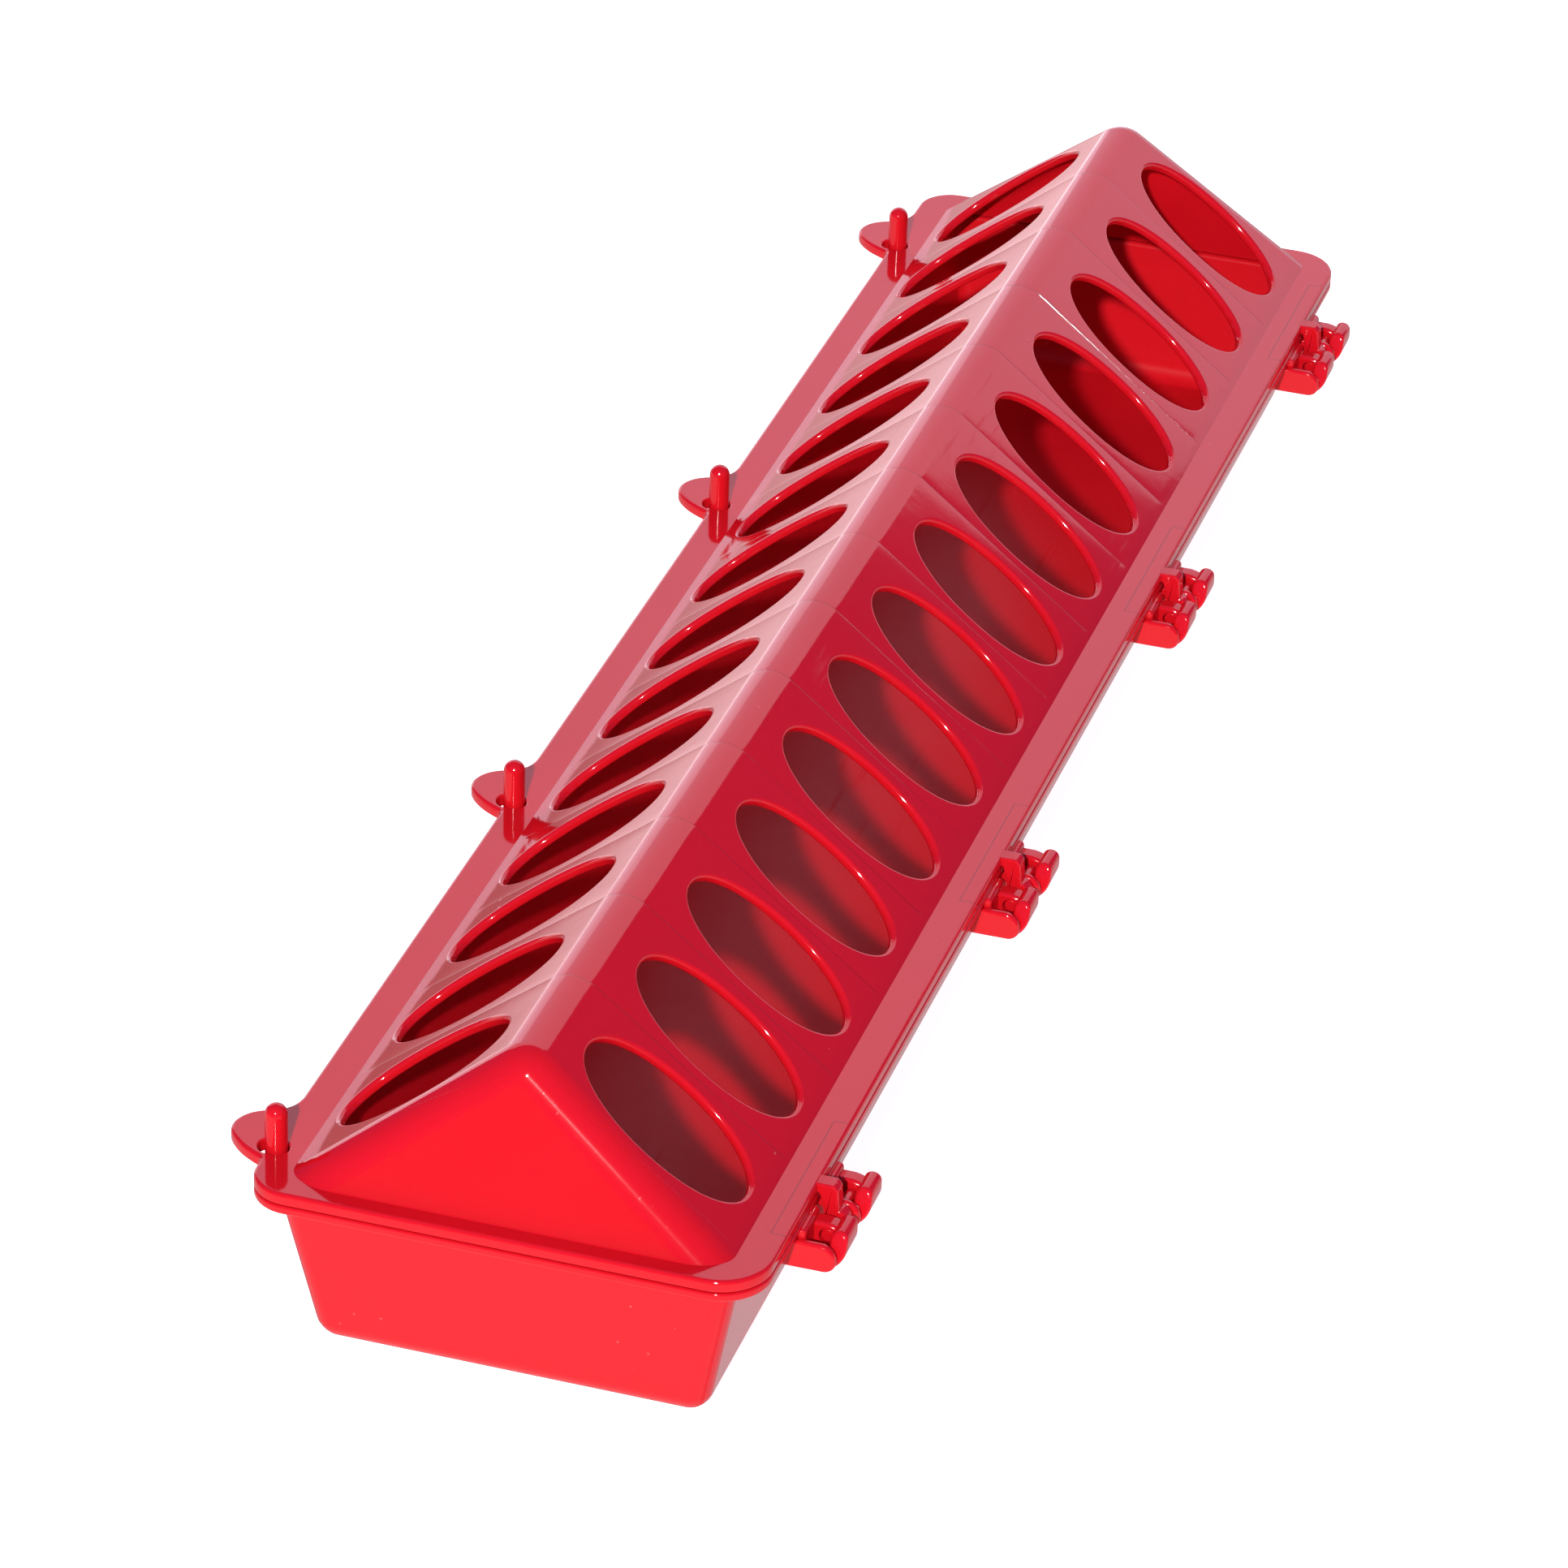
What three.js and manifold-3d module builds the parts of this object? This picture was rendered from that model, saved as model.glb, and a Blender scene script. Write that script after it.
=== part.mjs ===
// Flip-top trough feeder for chicks and small poultry.
// Two mouldings: a drafted feed tray and a gable-roof grille lid. The lid pivots at four
// hinges along one long side and drops over four pegs along the other.
// Millimetres, +Z up. Origin: centre of the tray's underside, on the ground plane.
// +Y runs along the trough, +X is the hinge side, -X is the finger-tab side.
// "Near" is the -Y end of a part and "far" its +Y end.
import * as THREE from "three";
import { ConvexGeometry } from "three/addons/geometries/ConvexGeometry.js";
import { mergeVertices } from "three/addons/utils/BufferGeometryUtils.js";
import Module from "manifold-3d";

// --------------------------------------------------------- shared dimensions
const HALF_LENGTH = 254.0; // rim and lid flange
const HALF_WIDTH = 56.2; // rim and lid flange, without tabs and hinges
const CORNER_R = 11.0; // plan corner radius of rim and flange
const CORNER_STEPS = 8; // segments in each of those corners
const WALL = 2.2; // nominal wall of both mouldings

const RIM_BOTTOM = 36.0;
const RIM_TOP = 38.1;
const LIP_BOTTOM = 38.4; // lower edge of the lid's turned-down lip
const FLANGE_TOP = 41.2; // top face of the lid flange

const PEG_X = -54.6;
const PEG_Y = [-237.5, -86.2, 65.8, 218.8];

const HINGE_Y = [-208.4, -68.0, 73.3, 214.5];
const PIVOT_X = 60.2;
const PIVOT_Z = 32.3;
const PIN_R = 1.5;

// ------------------------------------------------------------------- helpers
const wasm = await Module();
wasm.setup();

// Turns a closed geometry into a Manifold solid, using its positions only.
function solid(geometry) {
  geometry.deleteAttribute("normal");
  geometry.deleteAttribute("uv");
  const merged = mergeVertices(geometry, 1e-4);
  return new wasm.Manifold(
    new wasm.Mesh({
      numProp: 3,
      vertProperties: new Float32Array(merged.attributes.position.array),
      triVerts: new Uint32Array(merged.index.array),
    }),
  );
}

function geometryOf(part) {
  const mesh = part.getMesh();
  const geometry = new THREE.BufferGeometry();
  const vertices = new Float32Array(mesh.vertProperties);
  geometry.setAttribute("position", new THREE.BufferAttribute(vertices, 3));
  geometry.setIndex(new THREE.BufferAttribute(new Uint32Array(mesh.triVerts), 1));
  geometry.computeVertexNormals();
  return geometry;
}

const union = (parts) => parts.reduce((whole, part) => whole.add(part));

// Points along an arc, angles in degrees.
function arc(centreX, centreY, radius, from, to, steps) {
  const points = [];
  for (let i = 0; i <= steps; i++) {
    const angle = THREE.MathUtils.degToRad(from + ((to - from) * i) / steps);
    points.push([centreX + radius * Math.cos(angle), centreY + radius * Math.sin(angle)]);
  }
  return points;
}

// Quarter arc that rounds the square corner at (x, y). Its angles say which way it faces.
function corner(x, y, radius, from, to, steps) {
  const middle = THREE.MathUtils.degToRad((from + to) / 2);
  const centreX = x - radius * Math.sign(Math.cos(middle));
  const centreY = y - radius * Math.sign(Math.sin(middle));
  return arc(centreX, centreY, radius, from, to, steps);
}

// Counter-clockwise outline of a rounded rectangle, starting at the +X side.
const roundedRect = (halfX, halfY, radius, steps) => [
  ...corner(halfX, halfY, radius, 0, 90, steps),
  ...corner(-halfX, halfY, radius, 90, 180, steps),
  ...corner(-halfX, -halfY, radius, 180, 270, steps),
  ...corner(halfX, -halfY, radius, 270, 360, steps),
];

function extrude(outline, depth, steps = 1) {
  const shape = new THREE.Shape(outline.map(([x, y]) => new THREE.Vector2(x, y)));
  return new THREE.ExtrudeGeometry(shape, { depth, steps, bevelEnabled: false });
}

// Extrudes an outline drawn in X and Z along Y, from y0 to y1.
function alongY(outline, y0, y1) {
  const geometry = extrude(outline, y1 - y0);
  geometry.rotateX(Math.PI / 2);
  geometry.translate(0, y1, 0);
  return solid(geometry);
}

// Extrudes an outline drawn in X and Y, from z0 to z1.
function upZ(outline, z0, z1) {
  const geometry = extrude(outline, z1 - z0);
  geometry.translate(0, 0, z0);
  return solid(geometry);
}

// Solid through rounded rectangles at rising heights.
// Levels are [z, half x, half y, corner radius].
function loft(levels, cornerSteps) {
  const rings = levels.map(([, ...size]) => roundedRect(...size, cornerSteps));
  const geometry = extrude(rings[0], levels.length - 1, levels.length - 1);
  const position = geometry.attributes.position;
  for (let i = 0; i < position.count; i++) {
    const level = Math.round(position.getZ(i));
    // Match each vertex to the nearest point of the base ring, then move it to its own ring.
    let nearest = 0;
    let nearestDistance = Infinity;
    rings[0].forEach(([x, y], index) => {
      const distance = (x - position.getX(i)) ** 2 + (y - position.getY(i)) ** 2;
      if (distance < nearestDistance) {
        nearest = index;
        nearestDistance = distance;
      }
    });
    position.setXYZ(i, ...rings[level][nearest], levels[level][0]);
  }
  return solid(geometry);
}

// Plate with the plan of the lid flange, its edge moved in by inset.
function flangePlate(inset, z0, z1) {
  const size = [HALF_WIDTH - inset, HALF_LENGTH - inset, CORNER_R - inset];
  return loft([[z0, ...size], [z1, ...size]], CORNER_STEPS);
}

// Cylinder along the hinge axis, centred at y.
function pivotCylinder(radius, halfLength, y) {
  const geometry = new THREE.CylinderGeometry(radius, radius, 2 * halfLength, 24);
  geometry.translate(PIVOT_X, y, PIVOT_Z);
  return solid(geometry);
}

// ----------------------------------------------------------------- tray body
const TRAY_BASE_X = 42.9; // outer half width at the ground
const TRAY_BASE_Y = 245.4; // outer half length at the ground
const TRAY_TOP_X = 50.1; // outer half width under the rim
const TRAY_TOP_Y = 250.4; // outer half length under the rim
const TRAY_CORNER_R = 4.5; // vertical corners
const TRAY_CORNER_MIN_R = 1.5;
const TRAY_CORNER_SHRINK = 0.6; // corner radius lost per mm of inset
const TRAY_CORNER_STEPS = 6;
const TRAY_FOOT_R = 5.0; // rounding between floor and walls
const TRAY_FOOT_SHRINK = 0.5; // foot radius lost per mm of inset
const TRAY_FOOT_STEPS = 4;
const TRAY_FLOOR = 2.4;
const RIM_LAP = 0.5; // how far the tray wall and the hinge cups run up into the rim
const PEG_BOSS_R = 3.7; // local widening of the rim under each peg

// Rounded foot and drafted wall up to topZ: the outer skin at inset 0, or the cavity.
function trayBlock(inset, floor, topZ) {
  const draftX = (TRAY_TOP_X - TRAY_BASE_X) / RIM_BOTTOM;
  const draftY = (TRAY_TOP_Y - TRAY_BASE_Y) / RIM_BOTTOM;
  const levelAt = (z, back) => [
    z,
    TRAY_BASE_X + draftX * z - inset - back,
    TRAY_BASE_Y + draftY * z - inset - back,
    Math.max(TRAY_CORNER_R - inset * TRAY_CORNER_SHRINK - back, TRAY_CORNER_MIN_R),
  ];
  const footR = TRAY_FOOT_R - inset * TRAY_FOOT_SHRINK;
  const levels = [];
  for (let i = 0; i <= TRAY_FOOT_STEPS; i++) {
    const angle = (Math.PI / 2) * (i / TRAY_FOOT_STEPS);
    levels.push(levelAt(floor + footR * (1 - Math.cos(angle)), footR * (1 - Math.sin(angle))));
  }
  levels.push(levelAt(topZ, 0));
  return loft(levels, TRAY_CORNER_STEPS);
}

// Plan outline of the tray rim, swelling out round the root of each peg.
function rimOutline() {
  const outline = roundedRect(HALF_WIDTH, HALF_LENGTH, CORNER_R, CORNER_STEPS);
  const swell = THREE.MathUtils.radToDeg(Math.acos((-HALF_WIDTH - PEG_X) / PEG_BOSS_R));
  const bumps = PEG_Y.toReversed().flatMap((y) =>
    arc(PEG_X, y, PEG_BOSS_R, swell, 360 - swell, 10),
  );
  // The -X side follows the first two corners and runs towards -Y.
  outline.splice(2 * (CORNER_STEPS + 1), 0, ...bumps);
  return outline;
}

// ---------------------------------------------------------------------- pegs
const PEG_R = 2.45;
const PEG_ROOT = RIM_BOTTOM + 0.6;
const PEG_TOP = 51.9;

// Domed peg standing on the rim.
function makePeg(y) {
  const outline = [
    [0, PEG_ROOT],
    [PEG_R, PEG_ROOT],
    ...arc(0, PEG_TOP - PEG_R, PEG_R, 0, 90, 6),
  ];
  const profile = outline.map(([radius, z]) => new THREE.Vector2(radius, z));
  profile.at(-1).x = 0; // close the dome exactly on the axis
  const geometry = new THREE.LatheGeometry(profile, 24);
  geometry.rotateX(Math.PI / 2);
  geometry.translate(PEG_X, y, 0);
  return solid(geometry);
}

// ------------------------------------------------------------ hinge cradles
const CRADLE_LENGTH = 12.0;
const CRADLE_FLOOR = PIVOT_Z - 2.0;
const CRADLE_BOTTOM = 28.3;
const CRADLE_ROOT_X = 48.3; // inside the thickness of the tray wall
const CRADLE_WALL_IN = 62.0; // outer wall
const CRADLE_WALL_OUT = 65.8;
const CRADLE_WALL_TOP = 36.2;
const WALL_SET_BACK = 4.7; // top of the outer wall, behind the near face
const WALL_LEAN_START = CRADLE_BOTTOM + 0.65; // height at which the set-back begins
const CUP_X = 55.0; // rim-side wall
const CUP_IN = 57.4;
const CUP_TOP = 37.0;
const CUP_LAP = 0.1; // overlap of the cup with the near end
const CUP_R = {
  rimSideFoot: 1.5,
  outerFoot: 4.6,
  outerWallTop: 1.3,
  outerFloor: 1.4,
  rimSideFloor: 0.8,
  rimSideTop: 1.1,
};
const NEAR_THICK = 2.0;
const NEAR_TOP = 35.0;
const NEAR_OUT = 64.4;
const NEAR_FOOT_R = 2.8;
const NEAR_TOP_R = 3.8;
const FAR_THICK = 4.2;
const FAR_TOP = 35.3;
const FAR_OUT = CRADLE_WALL_IN + 0.5;
const FAR_BOTTOM = CRADLE_BOTTOM + 0.3;
const BORE_R = PIN_R + 0.3; // play all round the pin
const BORE_HALF = FAR_THICK / 2 + 0.3;

// The two cradles of a hinge: near face from the hinge station, and the middle of the end
// bored for the pin, from the near face.
const CRADLES = [
  { start: -16.8, bore: CRADLE_LENGTH - FAR_THICK / 2 },
  { start: 0.7, bore: NEAR_THICK / 2 },
];

// Outlines in X and Z.
// Rim-side wall, floor, big outer corner and a thick outer wall with a rounded top.
const CUP_OUTLINE = [
  [CUP_X, RIM_BOTTOM + RIM_LAP],
  ...corner(CUP_X, CRADLE_BOTTOM, CUP_R.rimSideFoot, 180, 270, 4),
  ...corner(CRADLE_WALL_OUT, CRADLE_BOTTOM, CUP_R.outerFoot, -90, 0, 9),
  ...corner(CRADLE_WALL_OUT, CRADLE_WALL_TOP, CUP_R.outerWallTop, 0, 90, 5),
  ...corner(CRADLE_WALL_IN, CRADLE_WALL_TOP, CUP_R.outerWallTop, 90, 180, 5),
  ...corner(CRADLE_WALL_IN, CRADLE_FLOOR, CUP_R.outerFloor, 0, -90, 4),
  ...corner(CUP_IN, CRADLE_FLOOR, CUP_R.rimSideFloor, 270, 180, 3),
  ...corner(CUP_IN, CUP_TOP, CUP_R.rimSideTop, 0, 90, 4),
  [HALF_WIDTH - 1, CUP_TOP],
];

// Top of either end, stepping down under the rim and back to the tray wall.
const stepUnderRim = (top) => [
  [HALF_WIDTH - 0.9, top],
  [HALF_WIDTH - 0.9, RIM_BOTTOM + 0.4],
  [CRADLE_ROOT_X, RIM_BOTTOM + 0.4],
];
const NEAR_OUTLINE = [
  [CRADLE_ROOT_X, CRADLE_BOTTOM],
  ...corner(NEAR_OUT, CRADLE_BOTTOM, NEAR_FOOT_R, -90, 0, 6),
  ...corner(NEAR_OUT, NEAR_TOP, NEAR_TOP_R, 0, 90, 8),
  ...stepUnderRim(NEAR_TOP),
];
const FAR_OUTLINE = [
  [CRADLE_ROOT_X, FAR_BOTTOM],
  [FAR_OUT, FAR_BOTTOM],
  [FAR_OUT, FAR_TOP],
  ...stepUnderRim(FAR_TOP),
];

// Short cup hung under the rim, open at the top, with its near face at y.
function makeCradle(y, bore) {
  const end = y + CRADLE_LENGTH;
  // The outer wall starts behind the near end and leans away from it going up.
  const wedge = [CRADLE_WALL_IN - 0.1, CRADLE_WALL_OUT + 5].flatMap((x) => [
    new THREE.Vector3(x, y - 1, WALL_LEAN_START),
    new THREE.Vector3(x, y + NEAR_THICK, WALL_LEAN_START),
    new THREE.Vector3(x, y + WALL_SET_BACK, CRADLE_WALL_TOP),
    new THREE.Vector3(x, y + WALL_SET_BACK, CRADLE_WALL_TOP + 2),
    new THREE.Vector3(x, y - 1, CRADLE_WALL_TOP + 2),
  ]);
  const cup = alongY(CUP_OUTLINE, y + NEAR_THICK - CUP_LAP, end);
  return union([
    cup.subtract(solid(new ConvexGeometry(wedge))),
    alongY(NEAR_OUTLINE, y, y + NEAR_THICK),
    alongY(FAR_OUTLINE, end - FAR_THICK, end),
  ]).subtract(pivotCylinder(BORE_R, BORE_HALF, y + bore));
}

function makeTray() {
  const skin = trayBlock(0, 0, RIM_BOTTOM + RIM_LAP);
  const rim = upZ(rimOutline(), RIM_BOTTOM, RIM_TOP);
  let tray = skin.add(rim).subtract(trayBlock(WALL, TRAY_FLOOR, RIM_TOP + 2));
  for (const y of PEG_Y) tray = tray.add(makePeg(y));
  for (const hinge of HINGE_Y)
    for (const { start, bore } of CRADLES) tray = tray.add(makeCradle(hinge + start, bore));
  return tray;
}

// ------------------------------------------------------------------ lid roof
const EAVE_X = 48.3; // half width of the roof at the flange
const ROOF_RISE = 38.0; // flange to the apex the two slopes would meet at
const ROOF_PITCH = Math.atan2(ROOF_RISE, EAVE_X);
const EDGE_R = 8.0; // rounding of the ridge and of the edges between slopes and gables
const RIDGE_STEPS = 8;
const EDGE_STEPS = 6;
const GABLE_Y = 249.7; // half length of the roof at the flange
const GABLE_LEAN = 0.26; // inward lean of the gable ends, mm per mm of height
const ROOF_UNDERRUN = 22; // how far the slopes are carried on below the flange top
const ROOF_SKIRT = 6; // extra depth under that, before the block is trimmed
const ROOF_CAVITY_DROP = 12; // bottom of the cavity, below the flange top

// Unit directions spread over the arc between two normals.
function arcDirections(from, to, steps) {
  const angle = from.angleTo(to);
  const directions = [];
  for (let i = 0; i <= steps; i++) {
    const part = i / steps;
    const fromWeight = Math.sin((1 - part) * angle) / Math.sin(angle);
    const toWeight = Math.sin(part * angle) / Math.sin(angle);
    directions.push(from.clone().multiplyScalar(fromWeight).addScaledVector(to, toWeight));
  }
  return directions;
}

// Unit directions spread over the triangle between three normals.
function triangleDirections(first, second, third, steps) {
  const directions = [];
  for (let i = 0; i <= steps; i++)
    for (let j = 0; j <= steps - i; j++) {
      const direction = first.clone().multiplyScalar(i);
      direction.addScaledVector(second, j).addScaledVector(third, steps - i - j);
      directions.push(direction.normalize());
    }
  return directions;
}

// Gable roof with leaning ends, trimmed off at bottomZ. Each face is moved in by inset, and
// the ridge and the edges between faces are rounded with a ball of radius EDGE_R - inset.
function roofBlock(inset, bottomZ) {
  const lean = Math.atan(GABLE_LEAN);
  const ball = EDGE_R - inset;
  const slopeNormal = (side) =>
    new THREE.Vector3(side * Math.sin(ROOF_PITCH), 0, Math.cos(ROOF_PITCH));
  const left = slopeNormal(-1);
  const right = slopeNormal(1);

  // Where the ball centres run at height z.
  const ballEaveX = EAVE_X - EDGE_R / Math.sin(ROOF_PITCH);
  const centreX = (z) => ballEaveX - (z - FLANGE_TOP) / Math.tan(ROOF_PITCH);
  const centreY = (z) => GABLE_Y - EDGE_R / Math.cos(lean) - (z - FLANGE_TOP) * GABLE_LEAN;
  const apexZ = FLANGE_TOP + ballEaveX * Math.tan(ROOF_PITCH);
  const lowZ = FLANGE_TOP - ROOF_UNDERRUN;

  const points = [];
  const addBall = (centre, directions) => {
    for (const direction of directions)
      points.push(centre.clone().addScaledVector(direction, ball));
  };
  for (const end of [-1, 1]) {
    const gable = new THREE.Vector3(0, end * Math.cos(lean), Math.sin(lean));
    addBall(new THREE.Vector3(0, end * centreY(apexZ), apexZ), [
      ...arcDirections(left, right, RIDGE_STEPS),
      ...arcDirections(left, gable, EDGE_STEPS),
      ...arcDirections(right, gable, EDGE_STEPS),
      ...triangleDirections(left, right, gable, EDGE_STEPS),
    ]);
    for (const side of [-1, 1]) {
      const base = new THREE.Vector3(side * centreX(lowZ), end * centreY(lowZ), lowZ);
      addBall(base, arcDirections(slopeNormal(side), gable, EDGE_STEPS));
      points.push(base.clone().setZ(lowZ - ROOF_SKIRT));
    }
  }
  // A box larger than the roof in every other direction trims the underside.
  const keepHeight = 200;
  const keep = new THREE.BoxGeometry(300, 700, keepHeight);
  keep.translate(0, 0, bottomZ + keepHeight / 2);
  return solid(new ConvexGeometry(points)).intersect(solid(keep));
}

// --------------------------------------------------------------- roof holes
const HOLES_PER_SIDE = 14;
const HOLE_PITCH = 34.4;
const HOLE_UP_SLOPE = 27.0; // eave to hole centre, measured up the slope
const HOLE_HALF_LONG = 22.6; // up the slope
const HOLE_HALF_WIDE = 13.6; // along Y
const HOLE_POWER = 2.12; // superellipse exponent
const HOLE_POINTS = 36;
const HOLE_CUT_DEPTH = 10;

// Superellipse cutter square to the roof slope on the given side, +1 or -1 in X.
function holeCutter(side, y) {
  const bulge = (value) => Math.sign(value) * Math.abs(value) ** (2 / HOLE_POWER);
  const outline = [];
  for (let i = 0; i < HOLE_POINTS; i++) {
    const angle = (2 * Math.PI * i) / HOLE_POINTS;
    outline.push([
      HOLE_HALF_LONG * bulge(Math.cos(angle)),
      HOLE_HALF_WIDE * bulge(Math.sin(angle)),
    ]);
  }
  const geometry = extrude(outline, HOLE_CUT_DEPTH);
  geometry.translate(0, 0, -HOLE_CUT_DEPTH / 2);
  const upSlope = new THREE.Vector3(-side * Math.cos(ROOF_PITCH), 0, Math.sin(ROOF_PITCH));
  const lengthwise = new THREE.Vector3(0, 1, 0);
  const through = new THREE.Vector3().crossVectors(upSlope, lengthwise);
  const placement = new THREE.Matrix4().makeBasis(upSlope, lengthwise, through);
  placement.setPosition(
    side * (EAVE_X - HOLE_UP_SLOPE * Math.cos(ROOF_PITCH)),
    y,
    FLANGE_TOP + HOLE_UP_SLOPE * Math.sin(ROOF_PITCH),
  );
  geometry.applyMatrix4(placement);
  return solid(geometry);
}

// ------------------------------------------------- finger tabs and peg slots
const TAB_THICK = 2.6;
const PEG_HOLE_R = 2.8; // hole in the lid tab
const PEG_SLOT = 1.3; // the hole runs on towards the tab tip, so the tab clears the peg
// Outline of a finger tab: X, then Y measured from its peg.
const TAB_OUTLINE = [
  [-53.0, 19.6], [-56.1, 19.6], [-56.9, 17.2], [-58.4, 15.1], [-60.4, 13.7],
  [-62.7, 12.5], [-64.7, 10.9], [-66.1, 8.7], [-66.7, 6.2], [-66.1, 3.4],
  [-64.3, 0.8], [-61.7, -1.6], [-58.9, -3.4], [-56.1, -4.4], [-53.0, -4.6],
];

const makeTab = (pegY) =>
  upZ(TAB_OUTLINE.map(([x, y]) => [x, pegY + y]), FLANGE_TOP - TAB_THICK, FLANGE_TOP);

function slotCutter(y) {
  const outline = [
    ...arc(PEG_X, y, PEG_HOLE_R, -90, 90, 12),
    ...arc(PEG_X - PEG_SLOT, y, PEG_HOLE_R, 90, 270, 12),
  ];
  return upZ(outline, LIP_BOTTOM - 3, FLANGE_TOP + 3);
}

// ---------------------------------------------------------------- hinge lugs
const PIN_NEAR = -8.7; // ends of each pin, from its hinge station
const PIN_FAR = 7.9;
const LUG_SHIFT = -1.55; // middle of the lug, from its hinge station
const LUG_HALF = 1.95; // half width along Y
const LUG_BOSS_R = 2.9;
// Arm from the lid edge down to the pivot, in X and Z.
const LUG_OUTLINE = [
  [HALF_WIDTH - 1.5, LIP_BOTTOM + 0.4],
  [HALF_WIDTH + 0.4, LIP_BOTTOM + 0.4],
  [HALF_WIDTH + 1.4, PIVOT_Z + 2.3],
  [PIVOT_X - LUG_BOSS_R, PIVOT_Z],
  [PIVOT_X, PIVOT_Z],
  [PIVOT_X + 0.9, PIVOT_Z + 2],
  [PIVOT_X + 0.4, FLANGE_TOP - 1.2],
  [PIVOT_X - 0.6, FLANGE_TOP],
  [HALF_WIDTH - 1.5, FLANGE_TOP],
];

// Lug with its round boss and cross pin.
function makeLug(hinge) {
  const y = hinge + LUG_SHIFT;
  return union([
    alongY(LUG_OUTLINE, y - LUG_HALF, y + LUG_HALF),
    pivotCylinder(LUG_BOSS_R, LUG_HALF, y),
    pivotCylinder(PIN_R, (PIN_FAR - PIN_NEAR) / 2, hinge + (PIN_NEAR + PIN_FAR) / 2),
  ]);
}

// ----------------------------------------------------------------------- lid
const LIP_WALL = 2.0;

function makeLid() {
  const flangeBottom = FLANGE_TOP - WALL;
  const lip = flangePlate(0, LIP_BOTTOM, FLANGE_TOP - 0.5).subtract(
    flangePlate(LIP_WALL, LIP_BOTTOM - 1, FLANGE_TOP + 1),
  );
  let lid = union([
    flangePlate(0, flangeBottom, FLANGE_TOP),
    lip,
    roofBlock(0, flangeBottom),
    ...PEG_Y.map(makeTab),
  ]);
  lid = lid.subtract(roofBlock(WALL, FLANGE_TOP - ROOF_CAVITY_DROP));

  for (const side of [-1, 1])
    for (let i = 0; i < HOLES_PER_SIDE; i++)
      lid = lid.subtract(holeCutter(side, (i - (HOLES_PER_SIDE - 1) / 2) * HOLE_PITCH));

  for (const y of PEG_Y) lid = lid.subtract(slotCutter(y));
  for (const hinge of HINGE_Y) lid = lid.add(makeLug(hinge));
  return lid;
}

// ------------------------------------------------------------------ assembly
// Glossy red plastic.
const plastic = () =>
  new THREE.MeshStandardMaterial({ color: 0xd01f2c, roughness: 0.22, metalness: 0 });

function namedMesh(name, part) {
  const mesh = new THREE.Mesh(geometryOf(part), plastic());
  mesh.name = name;
  return mesh;
}

const group = new THREE.Group();
group.name = "trough_feeder";
group.add(namedMesh("feed_tray", makeTray()));
group.add(namedMesh("grille_lid", makeLid()));

export default group;
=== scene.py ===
import math

import bmesh
import bpy
import numpy as np
from mathutils import Matrix, Vector


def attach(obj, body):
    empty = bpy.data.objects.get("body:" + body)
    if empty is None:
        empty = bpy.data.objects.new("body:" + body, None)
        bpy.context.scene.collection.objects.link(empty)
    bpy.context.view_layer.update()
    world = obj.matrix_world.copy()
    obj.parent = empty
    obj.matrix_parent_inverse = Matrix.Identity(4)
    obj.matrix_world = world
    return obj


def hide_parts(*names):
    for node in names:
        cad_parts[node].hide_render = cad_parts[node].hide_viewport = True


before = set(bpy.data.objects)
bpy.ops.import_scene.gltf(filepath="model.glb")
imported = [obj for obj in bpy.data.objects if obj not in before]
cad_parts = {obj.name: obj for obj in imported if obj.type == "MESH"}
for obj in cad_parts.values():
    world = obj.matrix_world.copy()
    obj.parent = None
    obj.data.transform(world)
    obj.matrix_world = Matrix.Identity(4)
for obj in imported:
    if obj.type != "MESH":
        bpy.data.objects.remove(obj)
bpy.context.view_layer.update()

SCENE = bpy.context.scene

# ---------------------------------------------------------------- dimensions, mm
HALF_LENGTH, HALF_WIDTH, WALL = 254.0, 56.2, 2.2
CORNER_LEFT, CORNER_RIGHT = 9.0, 11.5
RIM_BOTTOM, RIM_TOP = 36.0, 38.1
LIP_BOTTOM, FLANGE_TOP, LIP_WALL = 38.4, 41.2, 2.0
BASE_X, BASE_Y, TOP_X, TOP_Y = 42.9, 245.4, 50.1, 250.4
TRAY_CORNER, FOOT_R, FLOOR = 4.5, 5.0, 2.4
EAVE_X, RISE, EDGE_R, GABLE_Y, LEAN = 48.3, 38.0, 8.0, 249.7, 0.26
HOLES, PITCH, UP_SLOPE = 14, 34.4, 27.0
HOLE_LONG, HOLE_WIDE, HOLE_POWER = 22.6, 13.6, 2.12
PEG_R, PEG_TOP, PEG_X = 2.45, 51.9, -54.6
PEG_Y = [-237.5, -86.2, 65.8, 218.8]
BOSS_R, PEG_HOLE_R, PEG_SLOT, TAB_THICK = 3.7, 2.8, 1.3, 2.6
TAB = [
    (-56.9, 17.2), (-58.4, 15.1), (-60.4, 13.7), (-62.7, 12.5), (-64.7, 10.9), (-66.1, 8.7),
    (-66.7, 6.2), (-66.1, 3.4), (-64.3, 0.8), (-61.7, -1.6), (-58.9, -3.4),
]
HINGE_Y = [-208.4, -68.0, 73.3, 214.5]
PIVOT_X, PIVOT_Z, PIN_R, PIN_PLAY, PIN_NEAR, PIN_FAR = 60.2, 32.3, 1.5, 0.3, -8.7, 7.9
CRADLE_START, CRADLE_LENGTH, CRADLE_FLOOR, CRADLE_BOTTOM = (-16.8, 0.7), 12.0, 30.3, 28.3
OUTER_IN, OUTER_OUT, OUTER_TOP, SET_BACK = 62.0, 65.8, 36.2, 4.7
CUP_X, CUP_IN, CUP_TOP = 55.0, 57.4, 37.0
NEAR_THICK, NEAR_TOP, FAR_THICK, FAR_TOP = 2.0, 35.0, 4.2, 35.3
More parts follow.
